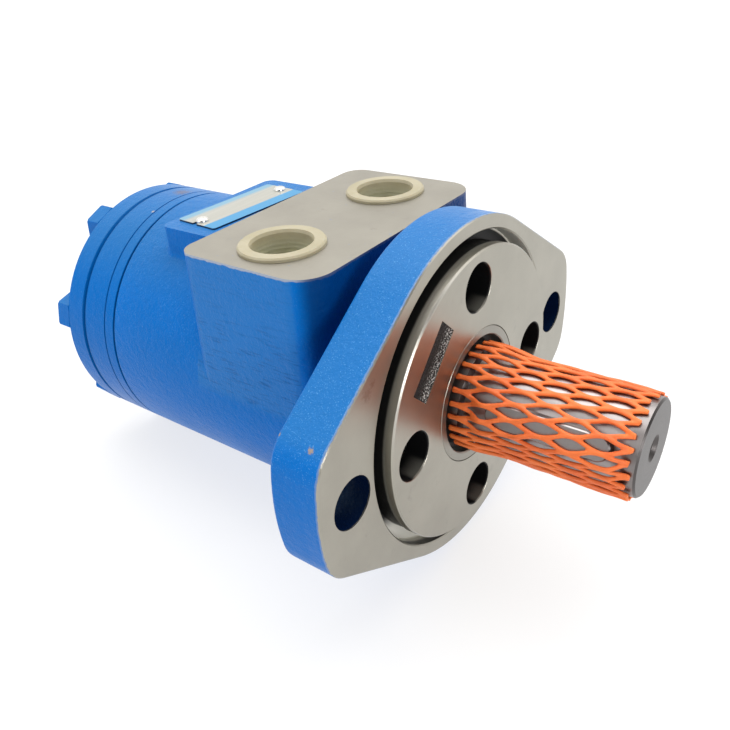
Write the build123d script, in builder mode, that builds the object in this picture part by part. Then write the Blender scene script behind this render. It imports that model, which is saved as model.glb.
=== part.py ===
"""Small orbital (roller-gerotor) hydraulic motor with a two-bolt mounting flange and a keyed shaft.

Frame: X = 0 is the mounting face, the shaft points along +X and the port face looks up, along +Z.
Lengths are in millimetres. Every piece of the motor is its own named solid, in parts/.
"""

import os
from math import acos, atan2, cos, hypot, pi, radians, sin

from build123d import *

# ---------------------------------------------------------------- driving dimensions

# stack along the shaft axis, from the shaft end to the end cap's bolt heads
SHAFT_END_X = 50.0
PILOT_HEIGHT = 2.8
FLANGE_THICK = 14.0
HOUSING_REAR_X = -102.2
SPACER_THICK = 4.5
RING_WIDTH = 10.7
END_CAP_THICK = 8.2
BODY_R = 40.4
EDGE_BREAK = 0.35
# chamfers on both sides of the joint behind the housing, the spacer plate and the ring
HOUSING_JOINT_BREAK = 0.5
SPACER_JOINT_BREAK = 0.25
RING_JOINT_BREAK = 0.8
CAP_REAR_BREAK = 0.15

# mounting flange
BOLT_SPACING = 106.4
BOLT_HOLE_R = 6.75
FLANGE_END_R = 65.0
FLANGE_WAIST_R = 48.4
FLANGE_SIDE_SLOPE = 33.4  # degrees between a straight side and the line of the two bolt holes
FLANGE_CORNER_R = 12.0
PILOT_R = 41.275
PILOT_EDGE = 0.4
ETCHING_CENTRE = (-21.8, 21.4)
ETCHING_SIZE = (19.3, 7.1)
ETCHING_TURN = 45.5
ETCHING_DEPTH = 0.12
GROOVE_OUTER_R = 44.5
GROOVE_INNER_R = 41.0
GROOVE_DEPTH = 5.0

# flange screws, 5/16 in socket head
SCREW_CIRCLE_R = 31.8
SCREW_COUNT = 4
SCREW_HEAD_R = 5.95
SCREW_HEAD_LENGTH = 7.9
SCREW_SOCKET_FLATS = 6.35
COUNTERBORE_R = 6.4
COUNTERBORE_FLOOR_X = -10.9
SCREW_SHANK_R = 3.92
SCREW_TAPPED_R = 3.97
SCREW_CLEAR_R = 4.1
SCREW_TIP_X = -29.0

# shaft, key and seals
SHAFT_R = 12.7
SHAFT_CHAMFER = 0.5
JOURNAL_R = 14.0
JOURNAL_END_X = 5.2
JOURNAL_SLOPE = 1.0
SPOOL_R = 17.5
SPOOL_FRONT_X = -18.2
SPOOL_REAR_X = -98.0
RUNNING_GAP = 0.03
KEY_WIDTH = 6.35
KEY_TOP_R = 15.55
KEY_SEAT_R = 9.2
KEY_START_X = 12.4
KEY_LENGTH = 31.75
KEY_ANGLE = 157.7
END_HOLE_R = 2.6
END_HOLE_MOUTH_R = 3.6
END_HOLE_DEPTH = 16.0
DUST_RING_OUTER_R = 19.4
DUST_RING_BORE_R = 16.75
DUST_RING_REAR_X = -2.2
SEAL_WEB_X = -3.2
SEAL_POCKET_R = 18.5
SEAL_REAR_X = -11.2

# thrust bearing between the flange and the spool shoulder
BEARING_POCKET_R = 21.4
BEARING_POCKET_X = -20.0
BEARING_INNER_R = 14.4
BEARING_OUTER_R = 21.0
RACE_THICK = 1.5
CAGE_THICK = 1.4
NEEDLE_R = 1.25
NEEDLE_LENGTH = 4.4
NEEDLE_COUNT = 24

# port block, ports and plugs
BLOCK_FRONT_X = -19.1
BLOCK_REAR_X = -64.2
BLOCK_HALF_WIDTH = 38.25
BLOCK_TOP_Z = 43.84
BLOCK_FRONT_CORNER_R = 8.5
BLOCK_REAR_CORNER_R = 5.5
BLOCK_SIDE_DEPTH = 0.15  # how far inside the barrel's skin the drafted sides aim
CAST_FILLET_R = 2.0
PORT_X = -41.07
PORT_Y = 22.76
PORT_R = 10.3
PORT_MOUTH_R = 11.1
PORT_DEPTH = 17.0
PLUG_FLANGE_R = 11.5
PLUG_FLANGE_HEIGHT = 1.15
PLUG_BODY_R = 10.15
PLUG_CUP_R = 8.0
PLUG_LENGTH = 15.0

# nameplate and its cast pad
PAD_REAR_X = -88.6
PAD_HALF_WIDTH = 23.3
PAD_TOP_Z = 41.5
PAD_CORNER_R = 3.0
PLATE_CENTRE = (-77.46, -0.37)
PLATE_TURN = -4.0  # the plate is riveted on a little askew
PLATE_WIDTH = 16.2
PLATE_LENGTH = 36.0
PLATE_THICK = 0.5
PLATE_CORNER_R = 0.8
PLATE_NOTCH = (1.6, 1.2)
RIVET_Y = 15.5
RIVET_HEAD_R = 1.9
RIVET_HEAD_HEIGHT = 1.0
RIVET_SHANK_R = 1.1

# roller gerotor set: seven rollers in the ring, six lobes on the star
ROLLER_COUNT = 7
LOBE_COUNT = 6
ROLLER_CIRCLE_R = 26.5
ROLLER_R = 6.3
ECCENTRICITY = 3.0
MESH_GAP = 0.05
SIDE_GAP = 0.06
FIRST_ROLLER_ANGLE = 90.0
ORBIT_ANGLE = 270.0  # where the star's centre stands at rest, seen in the Y-Z plane

# splines and drive link
TOOTH_COUNT = 12
SPLINE_MINOR_R = 8.5
SPLINE_MAJOR_R = 10.0
SPLINE_SPACE_WIDTH = 2.7
LINK_ROOT_R = 7.9
LINK_TIP_R = 9.4
LINK_TOOTH_WIDTH = 1.8
LINK_SHANK_R = 6.6
SPOOL_SPLINE_X = -56.0
SPOOL_SPLINE_LENGTH = 12.0
LINK_HEAD_LENGTH = 9.0
LINK_REAR_HEAD_LENGTH = 7.0
LINK_PIVOT_X = -110.8
DRIVE_SPACER_R = 8.0
DRIVE_SPACER_THICK = 1.9

# end cap bolts, 5/16 in hexagon head
CAP_BOLT_COUNT = 7
CAP_BOLT_CIRCLE_R = 34.05
CAP_BOLT_FLATS = 12.7
CAP_BOLT_HEAD = 5.8
CAP_BOLT_FIRST_ANGLE = 268.6
CAP_BOLT_TIP_X = -89.0

# seals between the body sections, and between the flange and the housing
BODY_SEAL_INNER_R, BODY_SEAL_OUTER_R = 38.25, 39.35
BODY_SEAL_DEPTH = 1.0
FLANGE_SEAL_INNER_R, FLANGE_SEAL_OUTER_R = 23.2, 25.8
FLANGE_SEAL_DEPTH = 1.6

# oil passages
ANNULUS_R = 20.5
ANNULUS_WIDTH = 6.0
FRONT_ANNULUS_X = -35.0
REAR_ANNULUS_X = -51.0
PASSAGE_R = 4.5
TIMING_CIRCLE_R = 23.4
TIMING_FIRST_ANGLE = 270.0
TIMING_R = 2.4
TIMING_END_X = -84.0
SPOOL_SLOT_DEPTH = 2.0
SPOOL_SLOT_WIDTH = 3.5
SPOOL_SLOT_REAR_X = -88.0

# shaft protection net, as a plain sleeve
NET_FRONT_X, NET_REAR_X = 48.6, 3.2
NET_WALL = 1.2
NET_GAP = 0.12

# derived places
FLANGE_REAR_X = -FLANGE_THICK
SPACER_REAR_X = HOUSING_REAR_X - SPACER_THICK
RING_REAR_X = SPACER_REAR_X - RING_WIDTH
CAP_REAR_X = RING_REAR_X - END_CAP_THICK
STAR_CENTRE = (ECCENTRICITY * cos(radians(ORBIT_ANGLE)), ECCENTRICITY * sin(radians(ORBIT_ANGLE)))
PLATE_PLANE = Plane(origin=(*PLATE_CENTRE, PAD_TOP_Z), z_dir=(0, 0, 1),
                    x_dir=(cos(radians(PLATE_TURN)), sin(radians(PLATE_TURN)), 0))
OUT = "parts"


# ---------------------------------------------------------------- shared shapes

def face_at(x, centre=(0, 0)):
    """The Y-Z plane at one station, looking along +X, centred on the motor's axis or on a (y, z) place."""
    return Plane(origin=(x, *centre), x_dir=(0, 1, 0), z_dir=(1, 0, 0))


def turned(profile, mode=Mode.ADD):
    """A body of revolution about the motor's axis, from (x, radius) corners."""
    with BuildSketch(Plane.XZ) as half_section:
        with BuildLine():
            Polyline(*profile, close=True)
        make_face()
    revolve(half_section.sketch, axis=Axis.X, mode=mode)


def tube(x0, x1, inner, outer, mode=Mode.ADD):
    """A plain ring between two stations; inner may be zero."""
    turned([(x0, inner), (x1, inner), (x1, outer), (x0, outer)], mode)


def drilled(x0, x1, radius, places=((0, 0),)):
    """Round holes along X between two stations, at the given (y, z) places."""
    with BuildSketch(face_at(x0)) as holes:
        with Locations(*places):
            Circle(radius)
    extrude(holes.sketch, amount=x1 - x0, mode=Mode.SUBTRACT)


def rim_edges(builder):
    """The circular edges around the outside of a body section."""
    return builder.edges().filter_by(GeomType.CIRCLE).filter_by(lambda e: abs(e.radius - BODY_R) < 0.01)


def upright_edges(builder):
    """The edges that stand up along Z, in groups from the rear to the front."""
    return builder.edges().filter_by(lambda e: abs(e.tangent_at(0).Z) > 0.9).group_by(Axis.X)


def is_pad_foot(edge):
    """Is this an edge along which the nameplate pad rises from the barrel?"""
    place = edge.position_at(0.5)
    on_barrel = abs(hypot(place.Y, place.Z) - BODY_R) < 0.01
    return on_barrel and place.Z > 0 and PAD_REAR_X - 0.1 < place.X < BLOCK_REAR_X - 0.1


def on_circle(radius, count, first):
    """Evenly spaced (y, z) places on a circle about the axis."""
    angles = [radians(first + 360 * k / count) for k in range(count)]
    return [(radius * cos(a), radius * sin(a)) for a in angles]


SCREW_PLACES = on_circle(SCREW_CIRCLE_R, SCREW_COUNT, 0)
CAP_BOLT_PLACES = on_circle(CAP_BOLT_CIRCLE_R, CAP_BOLT_COUNT, CAP_BOLT_FIRST_ANGLE)
TIMING_PLACES = on_circle(TIMING_CIRCLE_R, ROLLER_COUNT, TIMING_FIRST_ANGLE)
ROLLER_PLACES = on_circle(ROLLER_CIRCLE_R, ROLLER_COUNT, FIRST_ROLLER_ANGLE)


def save(builder, name):
    """Label a finished piece and write it under its own name."""
    builder.part.label = name
    export_step(builder.part, f"{OUT}/{name}.step")


os.makedirs(OUT, exist_ok=True)


# ---------------------------------------------------------------- housing

def port_passage(port_y, annulus_x):
    """An oblique drilling from a port's floor to one annulus of the valve bore."""
    start = Vector(PORT_X, port_y, BLOCK_TOP_Z - PORT_DEPTH + 2)
    end = Vector(annulus_x, port_y * 0.57, 14)
    with BuildSketch(Plane(origin=start, z_dir=end - start)) as mouth:
        Circle(PASSAGE_R)
    extrude(mouth.sketch, amount=(end - start).length, mode=Mode.SUBTRACT)


# the block's sides have casting draft: each leaves the barrel almost as a tangent and leans in to the
# port face
with BuildPart() as port_block:
    corner_reach = hypot(BLOCK_HALF_WIDTH, BLOCK_TOP_Z)
    touch_r = BODY_R - BLOCK_SIDE_DEPTH
    touch_angle = atan2(BLOCK_TOP_Z, BLOCK_HALF_WIDTH) - acos(touch_r / corner_reach)
    foot_y, foot_z = touch_r * cos(touch_angle), touch_r * sin(touch_angle)
    with BuildSketch(face_at(BLOCK_REAR_X)):
        Polygon((-BLOCK_HALF_WIDTH, BLOCK_TOP_Z), (-foot_y, foot_z), (foot_y, foot_z),
                (BLOCK_HALF_WIDTH, BLOCK_TOP_Z), align=None)
    extrude(amount=BLOCK_FRONT_X - BLOCK_REAR_X)
    fillet(upright_edges(port_block)[0], BLOCK_REAR_CORNER_R)
    fillet(upright_edges(port_block)[-1], BLOCK_FRONT_CORNER_R)


with BuildPart() as housing:
    tube(HOUSING_REAR_X, FLANGE_REAR_X, 0, BODY_R)
    chamfer(rim_edges(housing).sort_by(Axis.X)[0], HOUSING_JOINT_BREAK)
    # cast pad that carries the nameplate
    with BuildSketch(Plane.XY):
        with Locations(((BLOCK_REAR_X + 4 + PAD_REAR_X) / 2, 0)):
            RectangleRounded(BLOCK_REAR_X + 4 - PAD_REAR_X, 2 * PAD_HALF_WIDTH, PAD_CORNER_R)
    extrude(amount=PAD_TOP_Z)
    add(port_block.part)
    fillet(housing.edges().filter_by(is_pad_foot), CAST_FILLET_R)
    # valve bore, thrust bearing pocket and the two annuli that feed the ports
    tube(HOUSING_REAR_X, BEARING_POCKET_X, 0, SPOOL_R + RUNNING_GAP, Mode.SUBTRACT)
    tube(BEARING_POCKET_X, FLANGE_REAR_X, 0, BEARING_POCKET_R, Mode.SUBTRACT)
    for annulus_x in (FRONT_ANNULUS_X, REAR_ANNULUS_X):
        tube(annulus_x - ANNULUS_WIDTH / 2, annulus_x + ANNULUS_WIDTH / 2, 0, ANNULUS_R, Mode.SUBTRACT)
    # ports
    with BuildSketch(Plane.XY.offset(BLOCK_TOP_Z)):
        with Locations((PORT_X, -PORT_Y), (PORT_X, PORT_Y)):
            Circle(PORT_R)
    extrude(amount=-PORT_DEPTH, mode=Mode.SUBTRACT)
    port_mouths = (
        housing.edges().filter_by(GeomType.CIRCLE)
        .filter_by(lambda e: abs(e.center().Z - BLOCK_TOP_Z) < 0.01 and abs(e.radius - PORT_R) < 0.01)
    )
    chamfer(port_mouths, PORT_MOUTH_R - PORT_R)
    port_passage(-PORT_Y, FRONT_ANNULUS_X)
    port_passage(PORT_Y, REAR_ANNULUS_X)
    # timing passages from the valve bore to the rear face
    drilled(HOUSING_REAR_X, TIMING_END_X, TIMING_R, TIMING_PLACES)
    for k in range(ROLLER_COUNT):
        spoke = Plane.XY.rotated((TIMING_FIRST_ANGLE - 90 + 360 * k / ROLLER_COUNT, 0, 0))
        with BuildSketch(spoke.offset(SPOOL_R - 2)):
            with Locations((TIMING_END_X - TIMING_R, 0)):
                Circle(TIMING_R - 0.4)
        extrude(amount=TIMING_CIRCLE_R - SPOOL_R + 2, mode=Mode.SUBTRACT)
    # tapped holes at both ends, rivet holes and seal grooves
    drilled(FLANGE_REAR_X, SCREW_TIP_X - 2, SCREW_TAPPED_R, SCREW_PLACES)
    drilled(HOUSING_REAR_X, CAP_BOLT_TIP_X + 2, SCREW_TAPPED_R, CAP_BOLT_PLACES)
    with BuildSketch(PLATE_PLANE):
        with Locations((0, -RIVET_Y), (0, RIVET_Y)):
            Circle(RIVET_SHANK_R + 0.02)
    extrude(amount=-6, mode=Mode.SUBTRACT)
    tube(FLANGE_REAR_X - FLANGE_SEAL_DEPTH, FLANGE_REAR_X, FLANGE_SEAL_INNER_R, FLANGE_SEAL_OUTER_R,
         Mode.SUBTRACT)
    tube(HOUSING_REAR_X, HOUSING_REAR_X + BODY_SEAL_DEPTH, BODY_SEAL_INNER_R, BODY_SEAL_OUTER_R,
         Mode.SUBTRACT)
save(housing, "housing")


# ---------------------------------------------------------------- mounting flange and its screws

with BuildPart() as mounting_flange:
    side_y = FLANGE_WAIST_R * sin(radians(FLANGE_SIDE_SLOPE))
    side_z = FLANGE_WAIST_R * cos(radians(FLANGE_SIDE_SLOPE))
    far_y = FLANGE_WAIST_R / sin(radians(FLANGE_SIDE_SLOPE))
    with BuildSketch(face_at(FLANGE_REAR_X)) as outline:
        Circle(FLANGE_WAIST_R)
        Polygon((side_y, side_z), (-side_y, side_z), (-far_y, 0), (-side_y, -side_z), (side_y, -side_z),
                (far_y, 0), align=None)
        Circle(FLANGE_END_R, mode=Mode.INTERSECT)
        # along the line of the two bolt holes, only the four corners lie beyond the waist circle
        end_corners = outline.vertices().filter_by(lambda v: abs(v.X) > FLANGE_WAIST_R)
        fillet(end_corners, FLANGE_CORNER_R)
    extrude(amount=FLANGE_THICK)
    fillet(mounting_flange.faces().sort_by(Axis.X)[0].outer_wire().edges(), 1.2)
    chamfer(mounting_flange.faces().sort_by(Axis.X)[-1].outer_wire().edges(), EDGE_BREAK)
    # pilot spigot with the relief groove around it
    turned([(-GROOVE_DEPTH, 0), (PILOT_HEIGHT, 0), (PILOT_HEIGHT, PILOT_R - PILOT_EDGE),
            (PILOT_HEIGHT - PILOT_EDGE, PILOT_R), (-GROOVE_DEPTH, PILOT_R)])
    turned([(-GROOVE_DEPTH, GROOVE_INNER_R), (0, GROOVE_INNER_R), (0, GROOVE_OUTER_R + EDGE_BREAK),
            (-EDGE_BREAK, GROOVE_OUTER_R), (-GROOVE_DEPTH, GROOVE_OUTER_R)], Mode.SUBTRACT)
    # stepped bore for the dust seal, the shaft seal and the shaft
    tube(DUST_RING_REAR_X, PILOT_HEIGHT, 0, DUST_RING_OUTER_R, Mode.SUBTRACT)
    tube(SEAL_WEB_X, DUST_RING_REAR_X, 0, DUST_RING_BORE_R, Mode.SUBTRACT)
    tube(FLANGE_REAR_X, SEAL_WEB_X, 0, SEAL_POCKET_R, Mode.SUBTRACT)
    # mounting holes and counterbored screw holes
    drilled(0, FLANGE_REAR_X, BOLT_HOLE_R, ((-BOLT_SPACING / 2, 0), (BOLT_SPACING / 2, 0)))
    drilled(PILOT_HEIGHT, COUNTERBORE_FLOOR_X, COUNTERBORE_R, SCREW_PLACES)
    drilled(COUNTERBORE_FLOOR_X, FLANGE_REAR_X, SCREW_CLEAR_R, SCREW_PLACES)
    screw_mouths = (
        mounting_flange.edges().filter_by(GeomType.CIRCLE)
        .filter_by(lambda e: abs(e.center().X - PILOT_HEIGHT) < 0.01 and abs(e.radius - COUNTERBORE_R) < 0.01)
    )
    chamfer(screw_mouths, EDGE_BREAK)
    # shallow etched field on the pilot's face
    with BuildSketch(face_at(PILOT_HEIGHT)):
        with Locations(ETCHING_CENTRE):
            Rectangle(*ETCHING_SIZE, rotation=ETCHING_TURN)
    extrude(amount=-ETCHING_DEPTH, mode=Mode.SUBTRACT)
save(mounting_flange, "mounting_flange")


with BuildPart() as flange_screws:
    head_top_x = COUNTERBORE_FLOOR_X + SCREW_HEAD_LENGTH
    with BuildSketch(face_at(COUNTERBORE_FLOOR_X)):
        with Locations(*SCREW_PLACES):
            Circle(SCREW_HEAD_R)
    extrude(amount=SCREW_HEAD_LENGTH)
    chamfer(flange_screws.edges().filter_by(GeomType.CIRCLE).group_by(Axis.X)[-1], 0.5)
    with BuildSketch(face_at(COUNTERBORE_FLOOR_X)):
        with Locations(*SCREW_PLACES):
            Circle(SCREW_SHANK_R)
    extrude(amount=SCREW_TIP_X - COUNTERBORE_FLOOR_X)
    chamfer(flange_screws.edges().filter_by(GeomType.CIRCLE).group_by(Axis.X)[0], 0.6)
    with BuildSketch(face_at(head_top_x)):
        with Locations(*SCREW_PLACES):
            RegularPolygon(SCREW_SOCKET_FLATS / 2, 6, major_radius=False)
    extrude(amount=-SCREW_HEAD_LENGTH / 2, mode=Mode.SUBTRACT)
save(flange_screws, "flange_screws")


# ---------------------------------------------------------------- shaft seals and thrust bearing

with BuildPart() as dust_seal_ring:
    tube(DUST_RING_REAR_X, PILOT_HEIGHT, DUST_RING_BORE_R, DUST_RING_OUTER_R)
    chamfer(dust_seal_ring.edges().filter_by(GeomType.CIRCLE).group_by(Axis.X)[-1], 0.3)
save(dust_seal_ring, "dust_seal_ring")


with BuildPart() as dust_seal_lip:
    turned([(DUST_RING_REAR_X, JOURNAL_R + RUNNING_GAP), (DUST_RING_REAR_X + 2.6, JOURNAL_R + RUNNING_GAP),
            (DUST_RING_REAR_X + 1.2, JOURNAL_R + 1.2), (DUST_RING_REAR_X + 1.2, DUST_RING_BORE_R),
            (DUST_RING_REAR_X, DUST_RING_BORE_R)])
save(dust_seal_lip, "dust_seal_lip")


with BuildPart() as shaft_seal:
    # lip seal of U section, open towards the pressure side
    turned([(SEAL_WEB_X, JOURNAL_R + RUNNING_GAP), (SEAL_WEB_X, SEAL_POCKET_R), (SEAL_REAR_X, SEAL_POCKET_R),
            (SEAL_REAR_X, SEAL_POCKET_R - 1.2), (SEAL_WEB_X - 3, SEAL_POCKET_R - 1.5),
            (SEAL_WEB_X - 3, JOURNAL_R + 1.5), (SEAL_REAR_X, JOURNAL_R + 1.2),
            (SEAL_REAR_X, JOURNAL_R + RUNNING_GAP)])
save(shaft_seal, "shaft_seal")


with BuildPart() as backup_ring:
    tube(FLANGE_REAR_X + 0.1, SEAL_REAR_X, BEARING_INNER_R, SEAL_POCKET_R)
save(backup_ring, "backup_ring")


with BuildPart() as flange_seal:
    tube(FLANGE_REAR_X - FLANGE_SEAL_DEPTH, FLANGE_REAR_X, FLANGE_SEAL_INNER_R, FLANGE_SEAL_OUTER_R)
    fillet(flange_seal.edges().filter_by(GeomType.CIRCLE), 0.6)
save(flange_seal, "flange_seal")


RACE_REAR_X = FLANGE_REAR_X - RACE_THICK
NEEDLE_X = (RACE_REAR_X + SPOOL_FRONT_X) / 2

with BuildPart() as thrust_race:
    tube(RACE_REAR_X, FLANGE_REAR_X, BEARING_INNER_R, BEARING_OUTER_R)
save(thrust_race, "thrust_race")


with BuildPart() as thrust_cage:
    # flat cage with radial pockets, and the needles that run in them
    tube(NEEDLE_X - CAGE_THICK / 2, NEEDLE_X + CAGE_THICK / 2, BEARING_INNER_R, BEARING_OUTER_R)
    mid_r = (BEARING_INNER_R + BEARING_OUTER_R) / 2
    with BuildSketch(face_at(NEEDLE_X - CAGE_THICK / 2)):
        with PolarLocations(mid_r, NEEDLE_COUNT):
            Rectangle(NEEDLE_LENGTH + 0.2, 2 * NEEDLE_R + 0.2)
    extrude(amount=CAGE_THICK, mode=Mode.SUBTRACT)
    for k in range(NEEDLE_COUNT):
        spoke = Plane.XY.rotated((360 * k / NEEDLE_COUNT - 90, 0, 0))
        with BuildSketch(spoke.offset(mid_r - NEEDLE_LENGTH / 2)):
            with Locations((NEEDLE_X, 0)):
                Circle(NEEDLE_R)
        extrude(amount=NEEDLE_LENGTH)
save(thrust_cage, "thrust_needle_cage")


# ---------------------------------------------------------------- output shaft and key

def spline_spaces(x0, x1, centre=(0, 0)):
    """Internal spline between two stations: a minor bore with evenly spaced tooth spaces."""
    with BuildSketch(face_at(x0, centre)) as spaces:
        Circle(SPLINE_MINOR_R)
        with PolarLocations(SPLINE_MAJOR_R - 1.5, TOOTH_COUNT):
            Rectangle(3, SPLINE_SPACE_WIDTH)
    extrude(spaces.sketch, amount=x1 - x0, mode=Mode.SUBTRACT)


def key_outline(gap):
    """Plan view of the round-ended key, grown by a gap, in the sketch plane at the key's angle."""
    with Locations((KEY_START_X + KEY_LENGTH / 2, 0)):
        SlotOverall(KEY_LENGTH + 2 * gap, KEY_WIDTH + 2 * gap)


KEY_PLANE = Plane.XY.rotated((KEY_ANGLE - 90, 0, 0))
SPOOL_SPLINE_FRONT = SPOOL_SPLINE_X + SPOOL_SPLINE_LENGTH / 2
SPOOL_SPLINE_REAR = SPOOL_SPLINE_X - SPOOL_SPLINE_LENGTH / 2

with BuildPart() as output_shaft:
    turned([(SPOOL_REAR_X, 0), (SPOOL_REAR_X, SPOOL_R - 0.5), (SPOOL_REAR_X + 0.5, SPOOL_R),
            (SPOOL_FRONT_X, SPOOL_R), (SPOOL_FRONT_X, JOURNAL_R), (JOURNAL_END_X - JOURNAL_SLOPE, JOURNAL_R),
            (JOURNAL_END_X, SHAFT_R), (SHAFT_END_X - SHAFT_CHAMFER, SHAFT_R),
            (SHAFT_END_X, SHAFT_R - SHAFT_CHAMFER), (SHAFT_END_X, 0)])
    # tapped centre hole
    mouth_depth = END_HOLE_MOUTH_R - END_HOLE_R
    turned([(SHAFT_END_X - END_HOLE_DEPTH - END_HOLE_R, 0), (SHAFT_END_X - END_HOLE_DEPTH, END_HOLE_R),
            (SHAFT_END_X - mouth_depth, END_HOLE_R), (SHAFT_END_X, END_HOLE_MOUTH_R), (SHAFT_END_X, 0)],
           Mode.SUBTRACT)
    # key seat
    with BuildSketch(KEY_PLANE.offset(KEY_SEAT_R)):
        key_outline(0.02)
    extrude(amount=SHAFT_R, mode=Mode.SUBTRACT)
    # hollow for the drive link, with the internal spline at its inner end
    tube(SPOOL_REAR_X, SPOOL_SPLINE_REAR, 0, 11.0, Mode.SUBTRACT)
    spline_spaces(SPOOL_SPLINE_REAR, SPOOL_SPLINE_FRONT)
    tube(SPOOL_SPLINE_FRONT, SPOOL_SPLINE_FRONT + 4, 0, SPLINE_MAJOR_R + 0.2, Mode.SUBTRACT)
    # valve annuli and the timing slots that run back from each of them
    for annulus_x in (FRONT_ANNULUS_X, REAR_ANNULUS_X):
        tube(annulus_x - 2, annulus_x + 2, SPOOL_R - SPOOL_SLOT_DEPTH, SPOOL_R + 1, Mode.SUBTRACT)
    for k in range(2 * LOBE_COUNT):
        slot_front_x = (FRONT_ANNULUS_X, REAR_ANNULUS_X)[k % 2]
        spoke = Plane.XY.rotated((180 * k / LOBE_COUNT, 0, 0))
        with BuildSketch(spoke.offset(SPOOL_R - SPOOL_SLOT_DEPTH)):
            with Locations(((slot_front_x + SPOOL_SLOT_REAR_X) / 2, 0)):
                SlotOverall(slot_front_x - SPOOL_SLOT_REAR_X, SPOOL_SLOT_WIDTH)
        extrude(amount=SPOOL_SLOT_DEPTH + 1, mode=Mode.SUBTRACT)
save(output_shaft, "output_shaft")


with BuildPart() as shaft_key:
    with BuildSketch(KEY_PLANE.offset(KEY_SEAT_R)):
        key_outline(0)
    extrude(amount=KEY_TOP_R - KEY_SEAT_R)
    chamfer(shaft_key.faces().sort_by(Axis(KEY_PLANE.origin, KEY_PLANE.z_dir))[-1].outer_wire().edges(), 0.3)
save(shaft_key, "shaft_key")


# ---------------------------------------------------------------- spacer plate, ring, rollers and star

with BuildPart() as spacer_plate:
    tube(SPACER_REAR_X, HOUSING_REAR_X, 12.5, BODY_R)
    rear_rim, front_rim = rim_edges(spacer_plate).sort_by(Axis.X)
    chamfer(rear_rim, SPACER_JOINT_BREAK)
    chamfer(front_rim, HOUSING_JOINT_BREAK)
    drilled(SPACER_REAR_X, HOUSING_REAR_X, SCREW_CLEAR_R, CAP_BOLT_PLACES)
    drilled(SPACER_REAR_X, HOUSING_REAR_X, TIMING_R, TIMING_PLACES)
    tube(SPACER_REAR_X, SPACER_REAR_X + BODY_SEAL_DEPTH, BODY_SEAL_INNER_R, BODY_SEAL_OUTER_R, Mode.SUBTRACT)
save(spacer_plate, "spacer_plate")


with BuildPart() as gerotor_ring:
    tube(RING_REAR_X, SPACER_REAR_X, ROLLER_CIRCLE_R, BODY_R)
    rear_rim, front_rim = rim_edges(gerotor_ring).sort_by(Axis.X)
    chamfer(rear_rim, RING_JOINT_BREAK)
    chamfer(front_rim, SPACER_JOINT_BREAK)
    drilled(RING_REAR_X, SPACER_REAR_X, ROLLER_R + RUNNING_GAP, ROLLER_PLACES)
    drilled(RING_REAR_X, SPACER_REAR_X, SCREW_CLEAR_R, CAP_BOLT_PLACES)
save(gerotor_ring, "gerotor_ring")


for number, place in enumerate(ROLLER_PLACES, start=1):
    with BuildPart() as roller:
        with BuildSketch(face_at(RING_REAR_X + SIDE_GAP)):
            with Locations(place):
                Circle(ROLLER_R)
        extrude(amount=RING_WIDTH - 2 * SIDE_GAP)
        chamfer(roller.edges().filter_by(GeomType.CIRCLE), 0.2)
    save(roller, f"gerotor_roller_{number}")


def star_point(t):
    """Flank of the star at parameter t: the roller centres' path, moved inwards by the roller's radius."""
    y = ROLLER_CIRCLE_R * cos(t) - ECCENTRICITY * cos(ROLLER_COUNT * t)
    z = ROLLER_CIRCLE_R * sin(t) - ECCENTRICITY * sin(ROLLER_COUNT * t)
    dy = -ROLLER_CIRCLE_R * sin(t) + ROLLER_COUNT * ECCENTRICITY * sin(ROLLER_COUNT * t)
    dz = ROLLER_CIRCLE_R * cos(t) - ROLLER_COUNT * ECCENTRICITY * cos(ROLLER_COUNT * t)
    reach = (ROLLER_R + MESH_GAP) / hypot(dy, dz)
    return (y - dz * reach, z + dy * reach)


STAR_POINTS_PER_LOBE = 24

with BuildPart() as gerotor_star:
    steps = LOBE_COUNT * STAR_POINTS_PER_LOBE
    with BuildSketch(face_at(RING_REAR_X + SIDE_GAP, STAR_CENTRE)):
        with BuildLine():
            Spline(*[star_point(2 * pi * k / steps) for k in range(steps)], periodic=True)
        make_face()
    extrude(amount=RING_WIDTH - 2 * SIDE_GAP)
    spline_spaces(RING_REAR_X, SPACER_REAR_X, STAR_CENTRE)
save(gerotor_star, "gerotor_star")


# ---------------------------------------------------------------- drive link and drive spacer

# the link leans from the middle of the spool's spline to the star's centre
LINK_ENDS = Vector(SPOOL_SPLINE_X, 0, 0), Vector(LINK_PIVOT_X, *STAR_CENTRE)
LINK_PLANE = Plane(origin=LINK_ENDS[0], x_dir=(0, 1, 0), z_dir=LINK_ENDS[1] - LINK_ENDS[0])


def link_head(middle, length):
    """External spline head about one place along the link, with narrow teeth that leave room for the lean."""
    with BuildSketch(LINK_PLANE.offset(middle - length / 2)) as teeth:
        Circle(LINK_ROOT_R)
        with PolarLocations(LINK_TIP_R - 1, TOOTH_COUNT):
            Rectangle(2, LINK_TOOTH_WIDTH)
    extrude(teeth.sketch, amount=length)


with BuildPart() as drive_link:
    link_length = (LINK_ENDS[1] - LINK_ENDS[0]).length
    with BuildSketch(LINK_PLANE):
        Circle(LINK_SHANK_R)
    extrude(amount=link_length)
    link_head(0, LINK_HEAD_LENGTH)
    link_head(link_length, LINK_REAR_HEAD_LENGTH)
save(drive_link, "drive_link")


with BuildPart() as drive_spacer:
    with BuildSketch(face_at(RING_REAR_X + SIDE_GAP, STAR_CENTRE)):
        Circle(DRIVE_SPACER_R)
    extrude(amount=DRIVE_SPACER_THICK)
    chamfer(drive_spacer.edges().filter_by(GeomType.CIRCLE), 0.25)
save(drive_spacer, "drive_spacer")


# ---------------------------------------------------------------- end cap, its bolts and the body seals

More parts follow.
